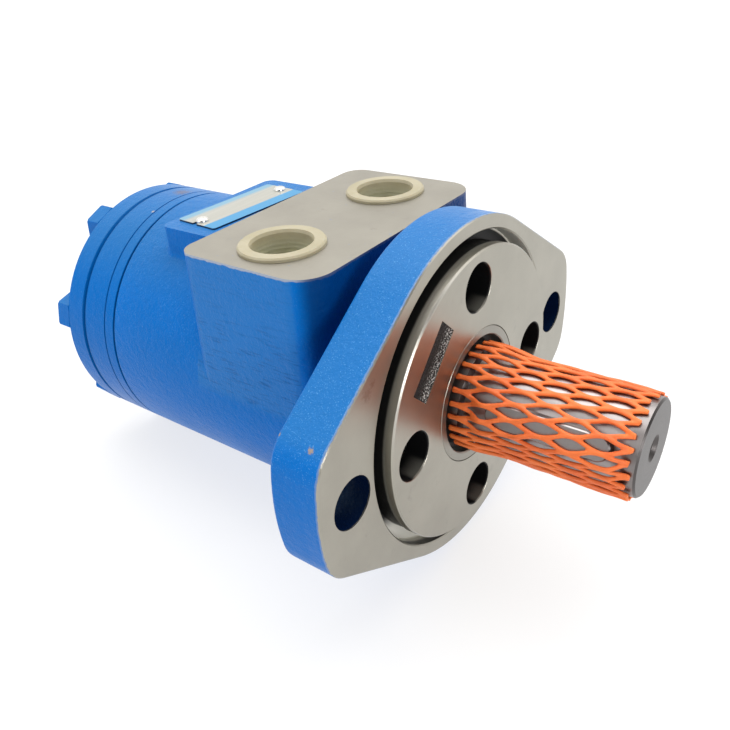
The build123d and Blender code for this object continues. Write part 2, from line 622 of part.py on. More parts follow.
with BuildPart() as end_cap:
    tube(CAP_REAR_X, RING_REAR_X, 0, BODY_R)
    rear_rim, front_rim = rim_edges(end_cap).sort_by(Axis.X)
    chamfer(rear_rim, CAP_REAR_BREAK)
    chamfer(front_rim, RING_JOINT_BREAK)
    drilled(CAP_REAR_X, RING_REAR_X, SCREW_CLEAR_R, CAP_BOLT_PLACES)
    tube(RING_REAR_X - BODY_SEAL_DEPTH, RING_REAR_X, BODY_SEAL_INNER_R, BODY_SEAL_OUTER_R, Mode.SUBTRACT)
save(end_cap, "end_cap")


with BuildPart() as end_cap_bolts:
    # each head stands with one flat outwards, level with the cap's rim
    with BuildSketch(face_at(CAP_REAR_X)):
        with PolarLocations(CAP_BOLT_CIRCLE_R, CAP_BOLT_COUNT, start_angle=CAP_BOLT_FIRST_ANGLE):
            RegularPolygon(CAP_BOLT_FLATS / 2, 6, major_radius=False, rotation=30)
    extrude(amount=-CAP_BOLT_HEAD)
    # a small conical chamfer takes the corners off the outer end of each head
    with BuildSketch(face_at(CAP_REAR_X - CAP_BOLT_HEAD)):
        with Locations(*CAP_BOLT_PLACES):
            Circle(CAP_BOLT_FLATS / 2 + 0.7)
    extrude(amount=CAP_BOLT_HEAD, taper=-30, mode=Mode.INTERSECT)
    with BuildSketch(face_at(CAP_REAR_X)):
        with Locations(*CAP_BOLT_PLACES):
            Circle(SCREW_SHANK_R)
    extrude(amount=CAP_BOLT_TIP_X - CAP_REAR_X)
    chamfer(end_cap_bolts.edges().filter_by(GeomType.CIRCLE).group_by(Axis.X)[-1], 0.6)
save(end_cap_bolts, "end_cap_bolts")


def body_seal(name, x0, x1):
    """Flat-sided seal ring that fills the groove between two body sections."""
    with BuildPart() as seal:
        tube(x0, x1, BODY_SEAL_INNER_R, BODY_SEAL_OUTER_R)
        chamfer(seal.edges().filter_by(GeomType.CIRCLE), 0.2)
    save(seal, name)


body_seal("body_seal_front", HOUSING_REAR_X, HOUSING_REAR_X + BODY_SEAL_DEPTH)
body_seal("body_seal_middle", SPACER_REAR_X, SPACER_REAR_X + BODY_SEAL_DEPTH)
body_seal("body_seal_rear", RING_REAR_X - BODY_SEAL_DEPTH, RING_REAR_X)


# ---------------------------------------------------------------- nameplate and rivets

with BuildPart() as nameplate:
    with BuildSketch(PLATE_PLANE):
        RectangleRounded(PLATE_WIDTH, PLATE_LENGTH, PLATE_CORNER_R)
        with Locations((0, -RIVET_Y), (0, RIVET_Y)):
            Circle(RIVET_SHANK_R + 0.05, mode=Mode.SUBTRACT)
        with Locations((-0.5, -PLATE_LENGTH / 2)):
            Rectangle(PLATE_NOTCH[0], 2 * PLATE_NOTCH[1], mode=Mode.SUBTRACT)
    extrude(amount=PLATE_THICK)
save(nameplate, "nameplate")


with BuildPart() as nameplate_rivets:
    with BuildSketch(PLATE_PLANE.offset(PLATE_THICK)):
        with Locations((0, -RIVET_Y), (0, RIVET_Y)):
            Circle(RIVET_HEAD_R)
    extrude(amount=RIVET_HEAD_HEIGHT)
    fillet(nameplate_rivets.edges().filter_by(GeomType.CIRCLE).group_by(Axis.Z)[-1], RIVET_HEAD_HEIGHT - 0.1)
    with BuildSketch(PLATE_PLANE.offset(PLATE_THICK)):
        with Locations((0, -RIVET_Y), (0, RIVET_Y)):
            Circle(RIVET_SHANK_R)
    extrude(amount=-5)
save(nameplate_rivets, "nameplate_rivets")


# ---------------------------------------------------------------- port plugs

def port_plug(name, y):
    """Moulded push-in plug: a bevelled flange on the port face and a cup that reaches into the port."""
    top_z = BLOCK_TOP_Z + PLUG_FLANGE_HEIGHT
    floor_z = BLOCK_TOP_Z - PLUG_LENGTH
    with BuildPart() as plug:
        with BuildSketch(Plane.XZ.offset(-y)):
            with BuildLine():
                Polyline((PORT_X, floor_z), (PORT_X + PLUG_BODY_R - 0.8, floor_z),
                         (PORT_X + PLUG_BODY_R, floor_z + 1.5), (PORT_X + PLUG_BODY_R, BLOCK_TOP_Z),
                         (PORT_X + PLUG_FLANGE_R, BLOCK_TOP_Z), (PORT_X + PLUG_FLANGE_R, top_z - 0.45),
                         (PORT_X + PLUG_FLANGE_R - 0.4, top_z), (PORT_X + PLUG_CUP_R + 0.4, top_z),
                         (PORT_X + PLUG_CUP_R, top_z - 0.8), (PORT_X + PLUG_CUP_R - 0.3, floor_z + 1.6),
                         (PORT_X, floor_z + 1.6), close=True)
            make_face()
        revolve(axis=Axis((PORT_X, y, 0), (0, 0, 1)))
    save(plug, name)


port_plug("port_plug_front", -PORT_Y)
port_plug("port_plug_rear", PORT_Y)


# ---------------------------------------------------------------- shaft protection net

NET_COLLAR_X = 6.0
NET_COLLAR_R = 15.3


def net_section(growth):
    """Section of the net: the shaft's circle and the key's top, pulled taut, then grown outwards."""
    key_angle = radians(KEY_ANGLE)
    corners = [
        (KEY_TOP_R * cos(key_angle) - side * sin(key_angle),
         KEY_TOP_R * sin(key_angle) + side * cos(key_angle))
        for side in (-KEY_WIDTH / 2, KEY_WIDTH / 2)
    ]
    with BuildSketch(face_at(NET_REAR_X)) as section:
        with BuildLine():
            CenterArc((0, 0), SHAFT_R, 0, 360)
            Line(*corners)
        make_hull()
        offset(amount=growth)
    return section.sketch


with BuildPart() as shaft_net:
    extrude(net_section(NET_GAP + NET_WALL), amount=NET_FRONT_X - NET_REAR_X)
    tube(NET_REAR_X, NET_COLLAR_X, 0, NET_COLLAR_R)
    extrude(net_section(NET_GAP), amount=NET_FRONT_X - NET_REAR_X, mode=Mode.SUBTRACT)
    tube(NET_REAR_X, JOURNAL_END_X + NET_GAP, 0, JOURNAL_R + NET_GAP, Mode.SUBTRACT)
save(shaft_net, "shaft_net")
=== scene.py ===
"""Looks for a small orbital hydraulic motor: painted castings, cut steel, plastic plugs and a shaft net.

Metres, in the motor's own frame: +X out along the shaft, +Z towards the port face, and X = 0 on the
mounting face.
"""

import math
import random

import bmesh
import bpy
from mathutils import Matrix, Vector


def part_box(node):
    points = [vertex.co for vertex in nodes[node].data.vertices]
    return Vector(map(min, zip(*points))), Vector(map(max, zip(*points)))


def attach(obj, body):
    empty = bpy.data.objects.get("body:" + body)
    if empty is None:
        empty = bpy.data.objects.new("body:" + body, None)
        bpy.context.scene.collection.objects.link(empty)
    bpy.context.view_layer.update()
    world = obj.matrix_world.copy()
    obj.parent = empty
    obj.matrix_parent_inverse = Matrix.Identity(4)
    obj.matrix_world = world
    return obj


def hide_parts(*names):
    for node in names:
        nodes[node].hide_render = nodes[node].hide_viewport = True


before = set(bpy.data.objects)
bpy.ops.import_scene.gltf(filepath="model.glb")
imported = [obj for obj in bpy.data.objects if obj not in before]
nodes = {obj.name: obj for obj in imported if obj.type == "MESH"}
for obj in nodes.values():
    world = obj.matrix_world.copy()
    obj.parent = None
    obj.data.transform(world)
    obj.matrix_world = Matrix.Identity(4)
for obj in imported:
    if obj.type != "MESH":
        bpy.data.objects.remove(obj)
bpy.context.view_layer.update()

MM = 0.001

# ---------------------------------------------------------------- camera and lights

EYE = Vector((84.088, -148.502, 113.012)) * MM
AIM = Vector((-0.53794754, 0.66547154, -0.51745538))
RIGHT = Vector((0.80317604, 0.5910129, -0.07491335))
LENS_MM = 36.315


def make_camera():
    data = bpy.data.cameras.new("camera")
    data.lens = LENS_MM
    data.sensor_width = 36
    data.clip_start = 0.01
    data.clip_end = 20
    camera = bpy.data.objects.new("camera", data)
    bpy.context.scene.collection.objects.link(camera)
    up = RIGHT.cross(AIM).normalized()
    turn = Matrix((RIGHT, up, -AIM)).transposed().to_4x4()
    camera.matrix_world = Matrix.Translation(EYE) @ turn
    bpy.context.scene.camera = camera


def make_light(name, place, target, size, watts):
    """A soft rectangular light that looks at a target."""
    data = bpy.data.lights.new(name, "AREA")
    data.shape = "RECTANGLE"
    data.size, data.size_y = size
    data.energy = watts
    light = bpy.data.objects.new(name, data)
    bpy.context.scene.collection.objects.link(light)
    place = Vector(place)
    aim = (Vector(target) - place).normalized()
    light.matrix_world = Matrix.Translation(place) @ aim.to_track_quat("-Z", "Y").to_matrix().to_4x4()


# ---------------------------------------------------------------- node writing

class Shader:
    """Writes one material's node tree, with the object's own coordinates and normals at hand."""

    def __init__(self, name):
        self.material = bpy.data.materials.new(name)
        self.material.use_nodes = True
        self.tree = self.material.node_tree
        self.tree.nodes.clear()
        self.out = self.tree.nodes.new("ShaderNodeOutputMaterial")
        self.where = self.tree.nodes.new("ShaderNodeTexCoord")
        self.position = self.where.outputs["Object"]
        self.normal = self.where.outputs["Normal"]

    def put(self, value, socket):
        """Link a socket to an input, or set the input to a number or colour."""
        if isinstance(value, bpy.types.NodeSocket):
            self.tree.links.new(value, socket)
        elif isinstance(value, (tuple, list)) and len(value) == 3 and len(socket.default_value) == 4:
            socket.default_value = (*value, 1)
        else:
            socket.default_value = value

    def math(self, operation, a, b=0.0, clamp=False):
        """One sum on two numbers or sockets."""
        node = self.tree.nodes.new("ShaderNodeMath")
        node.operation = operation
        node.use_clamp = clamp
        self.put(a, node.inputs[0])
        self.put(b, node.inputs[1])
        return node.outputs[0]

    def both(self, a, b):
        return self.math("MULTIPLY", a, b)

    def either(self, a, b):
        return self.math("MAXIMUM", a, b)

    def no(self, a):
        """1 where a mask is 0, and 0 where it is 1."""
        return self.math("SUBTRACT", 1.0, a, clamp=True)

    def axes(self, vector):
        node = self.tree.nodes.new("ShaderNodeSeparateXYZ")
        self.put(vector, node.inputs[0])
        return node.outputs

    def vector(self, x, y, z):
        node = self.tree.nodes.new("ShaderNodeCombineXYZ")
        for value, socket in zip((x, y, z), node.inputs):
            self.put(value, socket)
        return node.outputs[0]

    def stretch(self, vector, factors):
        node = self.tree.nodes.new("ShaderNodeVectorMath")
        node.operation = "MULTIPLY"
        self.put(vector, node.inputs[0])
        node.inputs[1].default_value = factors
        return node.outputs[0]

    def ramp(self, value, low, high, out_low, out_high, kind):
        """Change from out_low to out_high as a value goes from low to high."""
        node = self.tree.nodes.new("ShaderNodeMapRange")
        node.interpolation_type = kind
        self.put(value, node.inputs["Value"])
        node.inputs["From Min"].default_value = low
        node.inputs["From Max"].default_value = high
        node.inputs["To Min"].default_value = out_low
        node.inputs["To Max"].default_value = out_high
        return node.outputs["Result"]

    def step(self, value, low, high, out_low=0.0, out_high=1.0):
        """A ramp eased at both ends. With low above high it falls as the value rises."""
        return self.ramp(value, low, high, out_low, out_high, "SMOOTHSTEP")

    def spread(self, amount, out_low, out_high, low=0.0, high=1.0):
        """A straight ramp: a 0 to 1 amount, such as a noise, spread over a range."""
        return self.ramp(amount, low, high, out_low, out_high, "LINEAR")

    def noise(self, scale, detail=2.0, roughness=0.5, vector=None):
        node = self.tree.nodes.new("ShaderNodeTexNoise")
        self.put(self.position if vector is None else vector, node.inputs["Vector"])
        node.inputs["Scale"].default_value = scale
        node.inputs["Detail"].default_value = detail
        node.inputs["Roughness"].default_value = roughness
        return node.outputs["Fac"]

    def mix(self, factor, a, b):
        """Colour a where factor is 0, colour b where it is 1."""
        node = self.tree.nodes.new("ShaderNodeMix")
        node.data_type = "RGBA"
        self.put(factor, node.inputs[0])
        self.put(a, node.inputs[6])
        self.put(b, node.inputs[7])
        return node.outputs[2]

    def blend(self, factor, a, b):
        """Number a where factor is 0, number b where it is 1."""
        node = self.tree.nodes.new("ShaderNodeMix")
        self.put(factor, node.inputs[0])
        self.put(a, node.inputs[2])
        self.put(b, node.inputs[3])
        return node.outputs[0]

    def tint(self, colour, amount, low=0.8, high=1.2):
        """A colour made darker or lighter by a 0 to 1 amount."""
        node = self.tree.nodes.new("ShaderNodeVectorMath")
        node.operation = "SCALE"
        self.put(colour, node.inputs[0])
        self.put(self.spread(amount, low, high), node.inputs["Scale"])
        return node.outputs[0]

    def bump(self, height, distance, strength=1.0, below=None):
        """A bump whose full height is a real distance in metres."""
        node = self.tree.nodes.new("ShaderNodeBump")
        self.put(strength, node.inputs["Strength"])
        node.inputs["Distance"].default_value = distance
        self.put(height, node.inputs["Height"])
        if below is not None:
            self.put(below, node.inputs["Normal"])
        return node.outputs[0]

    def radius(self, centre=(0.0, 0.0), plane="yz"):
        """Distance from an axis through (a, b) of a plane."""
        x, y, z = self.axes(self.position)
        first, second = (y, z) if plane == "yz" else (x, y)
        a = self.math("SUBTRACT", first, centre[0])
        b = self.math("SUBTRACT", second, centre[1])
        return self.math("SQRT", self.math("ADD", self.both(a, a), self.both(b, b)))

    def finish(self, colour, roughness, metallic=0.0, normal=None, **more):
        """The surface itself; more names further inputs, with _ for a space."""
        node = self.tree.nodes.new("ShaderNodeBsdfPrincipled")
        self.put(colour, node.inputs["Base Color"])
        self.put(roughness, node.inputs["Roughness"])
        self.put(metallic, node.inputs["Metallic"])
        if normal is not None:
            self.put(normal, node.inputs["Normal"])
        for name, value in more.items():
            self.put(value, node.inputs[name.replace("_", " ")])
        self.tree.links.new(node.outputs[0], self.out.inputs["Surface"])
        return self.material


# ---------------------------------------------------------------- finishes

BLUE = (0.0, 0.143, 0.52)
UPWARD_SHADE_BLUE = (0.03, 0.15, 0.34)
FLANGE_SHADOW_BLUE = (0.0, 0.022, 0.11)
BLUE_SHEEN = (0.2, 0.6, 1.0)
BLUE_GREY = (0.030, 0.185, 0.50)
GLINT_BLUE = (0.20, 0.50, 0.80)
STREAK_BLUE = (0.0, 0.045, 0.19)
SEAM_BLUE = (0.0, 0.03, 0.14)
NAVY = (0.0015, 0.008, 0.035)
THIN_PAINT = (0.42, 0.45, 0.46)
CUT_EDGE = (0.50, 0.50, 0.48)
CHIPPED_PAINT = (0.30, 0.24, 0.20)
PRIMER_SPOT = (0.35, 0.33, 0.32)
NO_TINT = (1.0, 1.0, 1.0)

STEEL = (0.37, 0.353, 0.304)
PORT_FACE_STEEL = (0.345, 0.325, 0.28)
LIT_PALE_STEEL = (0.80, 0.78, 0.70)
HIGHLIGHT_STEEL = (0.62, 0.60, 0.55)
ETCHED_DARK = (0.010, 0.0095, 0.0095)
ETCHED_SPECKS = (0.62, 0.61, 0.58)
RECESS_SHADE_BLACK = (0.006, 0.006, 0.0065)
RUST = (0.16, 0.10, 0.07)

PLUG_CREAM, PLUG_SHADE, PLUG_CUP_GREEN_LIT = (0.385, 0.345, 0.235), (0.34, 0.30, 0.19), (0.50, 0.50, 0.37)
PLATE_BARE, PLATE_FRONT, PLATE_REAR = (0.45, 0.445, 0.40), (0.035, 0.24, 0.46), (0.07, 0.30, 0.48)
PLATE_EDGE_SHADE = (0.01, 0.02, 0.05)
RUBBER = (0.018, 0.018, 0.019)

# places of features on the parts, as (y, z) on the flange and (x, y) on the port face
BOLT_HOLES = ((0.0532, 0.0), (-0.0532, 0.0))
SCREW_HOLES = ((0.0318, 0.0), (0.0, 0.0318), (-0.0318, 0.0), (0.0, -0.0318))
PORTS = ((-0.04107, -0.02276), (-0.04107, 0.02276))
ETCHED_CENTRE = (-0.0218, 0.0214)
ETCHED_COS, ETCHED_SIN = 0.7009, 0.7133
ETCHED_HALF_LENGTH, ETCHED_HALF_WIDTH = 0.00965, 0.00355
PLATE_CENTRE = (-0.07746, -0.00037)
PLATE_COS, PLATE_SIN = 0.99756, 0.06976
PLATE_HALF_WIDTH = 0.0081
RUST_SPOTS = (((0, -0.0447, 0.0243), 0.0022), ((0, -0.0425, 0.0262), 0.0014))
PAINT_CHIPS = (((-0.0040, -0.0604, 0.0182), 0.0010), ((-0.0136, -0.0597, 0.0186), 0.0006))
# joints between the painted sections: station, half width and darkness
JOINTS = ((-0.1022, 0.0006, 0.95), (-0.1067, 0.0005, 0.6), (-0.1174, 0.0013, 0.6))


def paint_colour(s, low=0.86, high=1.12, glints=0.25):
    """Blue enamel: cloudy shade, fine grain from the casting, painted glints, and painted shade dulling
    upward faces.
    """
    shade = s.blend(0.4, s.noise(38, 3), s.noise(900, 3, 0.6))
    paint = s.tint(BLUE, shade, low, high)
    up = s.axes(s.normal)[2]
    # painted shade: upward faces are mixed towards a duller, darker blue
    paint = s.mix(s.step(up, 0.45, 0.95, 0.0, 0.6), paint, UPWARD_SHADE_BLUE)
    # painted highlight: small pale glints, mostly on faces that look up
    glint = s.both(s.step(s.noise(2900, 2, 0.6), 0.60, 0.70), s.step(up, -0.3, 0.5))
    return s.mix(s.both(glint, glints), paint, GLINT_BLUE)


def paint_bump(s, grain=1.0, where=1.0, below=None):
    """Orange peel over the grain of sand casting."""
    peel = s.bump(s.noise(480, 2, 0.55), 0.00022 * grain, where, below)
    return s.bump(s.noise(1500, 3, 0.7), 0.00015 * grain, where, peel)


def blot(s, centre, size, edge=0.5):
    """An uneven spot around a place: 1 inside, 0 outside."""
    away = s.tree.nodes.new("ShaderNodeVectorMath")
    away.operation = "DISTANCE"
    s.put(s.position, away.inputs[0])
    away.inputs[1].default_value = centre
    ragged = s.both(s.math("SUBTRACT", s.noise(1400, 4, 0.65), 0.5), 2.4 * size)
    return s.step(s.math("ADD", away.outputs["Value"], ragged), size, size * (1 - edge))


def turned_marks(s, radius, pitch=0.00032):
    """Height of fine grooves left by facing around an axis: a function of radius alone, slightly uneven."""
    ring = s.vector(radius, 0.0, 0.0)
    fine = s.noise(1 / pitch, 2, 0.6, vector=ring)
    broad = s.noise(420, 2, 0.5, vector=ring)
    return s.blend(0.35, fine, broad)


def metal_colour(s, marks, colour=STEEL):
    """Bare cut metal with soft clouding and the marks of the tool."""
    cloud = s.noise(75, 4, 0.55)
    base = s.tint(colour, s.blend(0.3, cloud, marks), 0.78, 1.2)
    stain = s.step(s.noise(210, 5, 0.62), 0.60, 0.80, 0.0, 0.35)
    return s.mix(stain, base, tuple(0.55 * c for c in colour))


def flange_finish():
    """Cast flange: painted edge, faced front and pilot, painted shade in the groove, bore and counterbores.
    """
    s = Shader("flange_cast_blue_and_faced")
    x, y, z = s.axes(s.position)
    r = s.radius()
    ragged = s.both(s.math("SUBTRACT", s.noise(900, 3), 0.5), 0.0005)
    edge = s.math("ADD", x, ragged)
    faced = s.step(edge, -0.00042, -0.00022)
    inside = s.both(s.step(r, 0.04492, 0.04488), s.step(x, -0.0056, -0.0053))
    bare = s.either(faced, inside)
    marks = turned_marks(s, r)
    steel = metal_colour(s, marks)
    for centre, size in RUST_SPOTS:
        steel = s.mix(s.both(blot(s, centre, size, 0.9), 0.35), steel, RUST)
    # painted shade: black in the groove, except low down, and in the bore and the counterbores
    low = s.step(z, -0.0200, -0.0270)
    floor = s.step(x, -0.0042, -0.0049)
    wall = s.both(s.step(r, 0.0430, 0.0420), s.step(x, 0.0012, -0.0006))
    # painted shade also just inside the groove's outer edge, low down
    below_edge = s.both(s.both(s.step(r, 0.0440, 0.0444), low), s.step(x, -0.0036, -0.0020))
    below_edge = s.both(below_edge, s.step(x, -0.0002, -0.0005))
    groove = s.both(s.step(r, 0.0405, 0.0409), s.either(s.both(floor, s.no(low)), wall))
    groove = s.either(groove, s.both(below_edge, 0.85))
    bore = s.both(s.step(r, 0.0200, 0.0196), s.step(x, 0.0016, 0.0004))
    # in each counterbore the painted shade is halved on the lower part of the wall, where that wall is lit
    counterbore = 0.0
    for place in SCREW_HOLES:
        down = s.both(s.math("SUBTRACT", z, place[1]), -0.95)
        low_side = s.math("ADD", s.both(s.math("SUBTRACT", y, place[0]), 0.31), down)
        lit_low_wall = s.both(s.step(low_side, 0.0054, 0.0064), s.step(x, -0.0030, 0.0022))
        hole_shade = s.both(s.step(s.radius(place), 0.00668, 0.00662), s.no(s.both(lit_low_wall, 0.5)))
        counterbore = s.either(counterbore, hole_shade)
    counterbore = s.both(counterbore, s.step(x, 0.00279, 0.00268))
    deep = s.either(s.either(groove, bore), counterbore)
    steel = s.mix(deep, steel, RECESS_SHADE_BLACK)
    # painted light: the groove's outer wall, above, and its floor, low down, are made pale where light
    # reaches them
    upper_wall = s.both(s.step(r, 0.0438, 0.0443), s.step(x, -0.0002, -0.0006))
    lit_pale = s.either(s.both(upper_wall, s.no(low)), s.both(s.both(floor, low), s.step(r, 0.0409, 0.0413)))
    lit_pale = s.both(lit_pale, s.step(r, 0.0450, 0.0447))
    steel = s.mix(lit_pale, steel, LIT_PALE_STEEL)
    # painted highlight: the pilot's edge is lighter on one side of its upper half
    pilot_edge = s.both(s.both(s.step(r, 0.0404, 0.0410), s.step(r, 0.0420, 0.0416)), s.step(x, 0.0, 0.0016))
    highlight = s.both(pilot_edge, s.both(s.step(z, 0.004, 0.020), s.step(y, -0.004, -0.018)))
    steel = s.mix(s.both(highlight, 0.6), steel, HIGHLIGHT_STEEL)
    # the etched field: a dark ground, with bright specks along its lower side
    from_y, from_z = (s.math("SUBTRACT", a, b) for a, b in zip((y, z), ETCHED_CENTRE))
    along = s.math("ADD", s.both(from_y, ETCHED_COS), s.both(from_z, ETCHED_SIN))
    across = s.math("SUBTRACT", s.both(from_z, ETCHED_COS), s.both(from_y, ETCHED_SIN))
    field = s.both(
        s.step(s.math("ABSOLUTE", along), ETCHED_HALF_LENGTH + 0.00003, ETCHED_HALF_LENGTH - 0.00005),
        s.step(s.math("ABSOLUTE", across), ETCHED_HALF_WIDTH + 0.00003, ETCHED_HALF_WIDTH - 0.00005))
    field = s.both(field, s.step(x, 0.0024, 0.0026))
    specks = s.step(s.noise(2300, 3, 0.7), 0.53, 0.60)
    specks = s.both(specks, s.step(across, 0.0012, -0.0022, 0.04, 1.0))
    steel = s.mix(field, steel, s.mix(specks, ETCHED_DARK, ETCHED_SPECKS))
    # paint: thin along the faced edge, chipped in two places, and painted shade, near-black navy, inside the
    # bolt holes
    lip = s.both(s.both(s.step(edge, -0.00085, -0.00060), s.no(bare)), 0.3)
    paint = s.mix(lip, paint_colour(s, glints=0.4), THIN_PAINT)
    for centre, size in PAINT_CHIPS:
        paint = s.mix(blot(s, centre, size), paint, CHIPPED_PAINT)
    hole = 0.0
    for place in BOLT_HOLES:
        hole = s.either(hole, s.step(s.radius(place), 0.0072, 0.0070))
    paint = s.mix(hole, paint, NAVY)
    colour = s.mix(bare, paint, steel)
    # the painted shade and the etched field aren't metallic, and the painted-light steel hardly is
    rough = s.blend(bare, s.spread(s.noise(60), 0.26, 0.40), s.spread(marks, 0.24, 0.42))
    rough = s.blend(field, s.blend(deep, rough, 0.42), 0.6)
    dull = s.either(s.either(field, s.both(deep, 0.9)), s.both(lit_pale, 0.9))
    metallic = s.both(bare, s.no(dull))
    cut = s.bump(marks, 0.000035, bare)
    cut = s.bump(s.noise(2600, 3, 0.7), 0.0002, field, below=cut)
    normal = paint_bump(s, 0.9, s.no(bare), cut)
    sheen = s.mix(bare, BLUE_SHEEN, NO_TINT)
    return s.finish(colour, rough, metallic, normal, Specular_IOR_Level=0.16, Specular_Tint=sheen,
                    Coat_Weight=s.both(s.no(bare), 0.06), Coat_Roughness=0.10, Coat_Normal=normal)


def housing_finish():
    """Cast housing: painted, with a faced port face and bare ports."""
    s = Shader("housing_cast_blue")
    x, y, z = s.axes(s.position)
    up = s.axes(s.normal)[2]
    side = s.math("ABSOLUTE", s.axes(s.normal)[1])
    ragged = s.both(s.math("SUBTRACT", s.noise(520, 4), 0.5), 0.0009)
    rim = s.math("ADD", z, ragged)
    top = s.both(s.step(rim, 0.04352, 0.04368), s.step(up, 0.5, 0.8))
    front, rear = (s.radius(place, "xy") for place in PORTS)
    port = s.step(s.math("MINIMUM", front, rear), 0.01175, 0.01165)
    port = s.both(port, s.step(z, 0.0262, 0.0268))
    inner = s.step(s.radius(), 0.0300, 0.0298)
    bare = s.either(s.either(top, port), inner)
    along = s.vector(y, s.both(x, 0.04), 0.0)
    marks = s.blend(0.3, s.noise(2200, 2, vector=along), s.noise(300, 2, vector=along))
    steel = metal_colour(s, marks, PORT_FACE_STEEL)
    # the port block's sides are a little greyer, with fine dark streaks low down
    block = s.both(s.both(s.step(x, -0.0645, -0.0640), s.step(side, 0.93, 0.98)), s.step(z, 0.002, 0.006))
    lines = s.noise(1500, 3, 0.6, vector=s.stretch(s.position, (0.10, 0.3, 1.0)))
    lines = s.both(s.step(lines, 0.50, 0.72), s.step(z, 0.034, 0.016, 0.15, 0.55))
    paint = s.mix(s.both(block, 0.6), paint_colour(s, 0.84, 1.14), BLUE_GREY)
    paint = s.mix(s.both(block, lines), paint, STREAK_BLUE)
    # a pale cut edge under the port face
    lip = s.both(s.both(s.step(rim, 0.04310, 0.04335), s.no(bare)), 0.7)
    paint = s.mix(lip, paint, CUT_EDGE)
    # painted shadow: deeper blue on the faces behind the flange, where it shades them; navy in the joint to
    # the spacer plate
    ahead = s.axes(s.normal)[0]
    flange_shadow = s.both(s.step(x, -0.0280, -0.0200), s.step(ahead, 0.25, 0.75))
    paint = s.mix(s.both(flange_shadow, 0.85), paint, FLANGE_SHADOW_BLUE)
    paint = s.mix(s.step(x, -0.10165, -0.10195), paint, NAVY)
    colour = s.mix(bare, paint, steel)
    rough = s.blend(bare, s.spread(s.noise(55), 0.26, 0.42), s.spread(marks, 0.38, 0.52))
    normal = paint_bump(s, 1.35, s.no(bare), s.bump(marks, 0.00003, bare))
    sheen = s.mix(bare, BLUE_SHEEN, NO_TINT)
    return s.finish(colour, rough, bare, normal, Specular_IOR_Level=0.10, Specular_Tint=sheen,
                    Coat_Weight=s.both(s.no(bare), 0.03), Coat_Roughness=0.15, Coat_Normal=normal)


def painted_finish(name, grain):
    """Painted sections behind the housing, darker in the joints between them."""
    s = Shader(name)
    x = s.axes(s.position)[0]
    paint = paint_colour(s, 0.80, 1.04, 0.15)
    for joint, half, depth in JOINTS:
        away = s.math("ABSOLUTE", s.math("SUBTRACT", x, joint))
        paint = s.mix(s.both(s.step(away, half, 0.3 * half), depth), paint, SEAM_BLUE)
    # one rubbed, rusty patch and one small spot on top
    rub = s.both(blot(s, (-0.1105, 0.004, 0.0402), 0.0042, 0.9), 0.6)
    paint = s.mix(rub, paint, RUST)
    paint = s.mix(blot(s, (-0.1075, -0.011, 0.0389), 0.0006), paint, PRIMER_SPOT)
    rough = s.spread(s.noise(60), 0.24, 0.38)
    return s.finish(paint, rough, 0.0, paint_bump(s, grain), Specular_IOR_Level=0.09,
                    Specular_Tint=BLUE_SHEEN)


def steel_finish(name, colour, low, high, pitch=0.0003, depth=0.00003, worn=0.5, painted_face_shade=1.0,
                 dark_from=None):
    """Turned steel about the shaft axis: grooves on the end faces and around the cylinder.

    dark_from is a station, in metres along X, past which the steel is stained darker.
    """
    s = Shader(name)
    x = s.axes(s.position)[0]
    across = s.math("ABSOLUTE", s.axes(s.normal)[0])
    face = s.step(across, 0.4, 0.6)
    run = s.blend(face, x, s.radius())
    marks = turned_marks(s, run, pitch)
    wear = s.step(s.noise(300, 5, 0.65), 0.6, 0.8)
    base = s.mix(s.both(wear, worn), metal_colour(s, marks, colour), tuple(0.4 * c for c in colour))
    # painted shade: the end faces are darkened by painted_face_shade
    base = s.mix(face, base, s.tint(base, painted_face_shade, 0.0, 1.0))
    if dark_from is not None:
        stained = s.both(s.step(x, dark_from, dark_from + 0.0012), s.no(face))
        base = s.mix(stained, base, s.tint(base, 0.7, 0.0, 1.0))
    rough = s.blend(wear, s.spread(marks, low, high), high + 0.1)
    return s.finish(base, rough, 1.0, s.bump(marks, depth))


def plastic_finish(name, colour, deep, roughness, subsurface, grain=0.00004):
    """Moulded plastic with a little depth and faint mould grain."""
    s = Shader(name)
    cloud = s.noise(110, 3)
    shade = s.mix(s.step(cloud, 0.35, 0.7), colour, deep)
    rough = s.spread(s.noise(400, 2), roughness - 0.06, roughness + 0.08)
    normal = s.bump(s.noise(1800, 3), grain)
    return s.finish(
        shade, rough, 0.0, normal,
        Subsurface_Weight=subsurface, Subsurface_Scale=0.003, Subsurface_Radius=(1.0, 0.6, 0.3),
    )


def plug_finish():
    """Waxy cream plastic, greener and ridged down inside the cup, where it is also painted lighter against
    the shade.
    """
    s = Shader("port_plug_cream_plastic")
    z = s.axes(s.position)[2]
    shade = s.mix(s.step(s.noise(110, 3), 0.35, 0.7), PLUG_CREAM, PLUG_SHADE)
    cup = s.step(z, 0.0442, 0.0400)
    # greener as the plastic is, and lighter as painted light in the cup's shade
    shade = s.mix(s.both(cup, 0.75), shade, PLUG_CUP_GREEN_LIT)
    ridge = s.math("SINE", s.both(z, 2 * math.pi / 0.0012))
    normal = s.bump(ridge, 0.00003, cup)
    normal = s.bump(s.noise(1500, 3), 0.00004, below=normal)
    return s.finish(shade, s.spread(s.noise(400, 2), 0.38, 0.52), 0.0, normal,
                    Subsurface_Weight=0.1, Subsurface_Scale=0.002, Subsurface_Radius=(1.0, 0.7, 0.35))


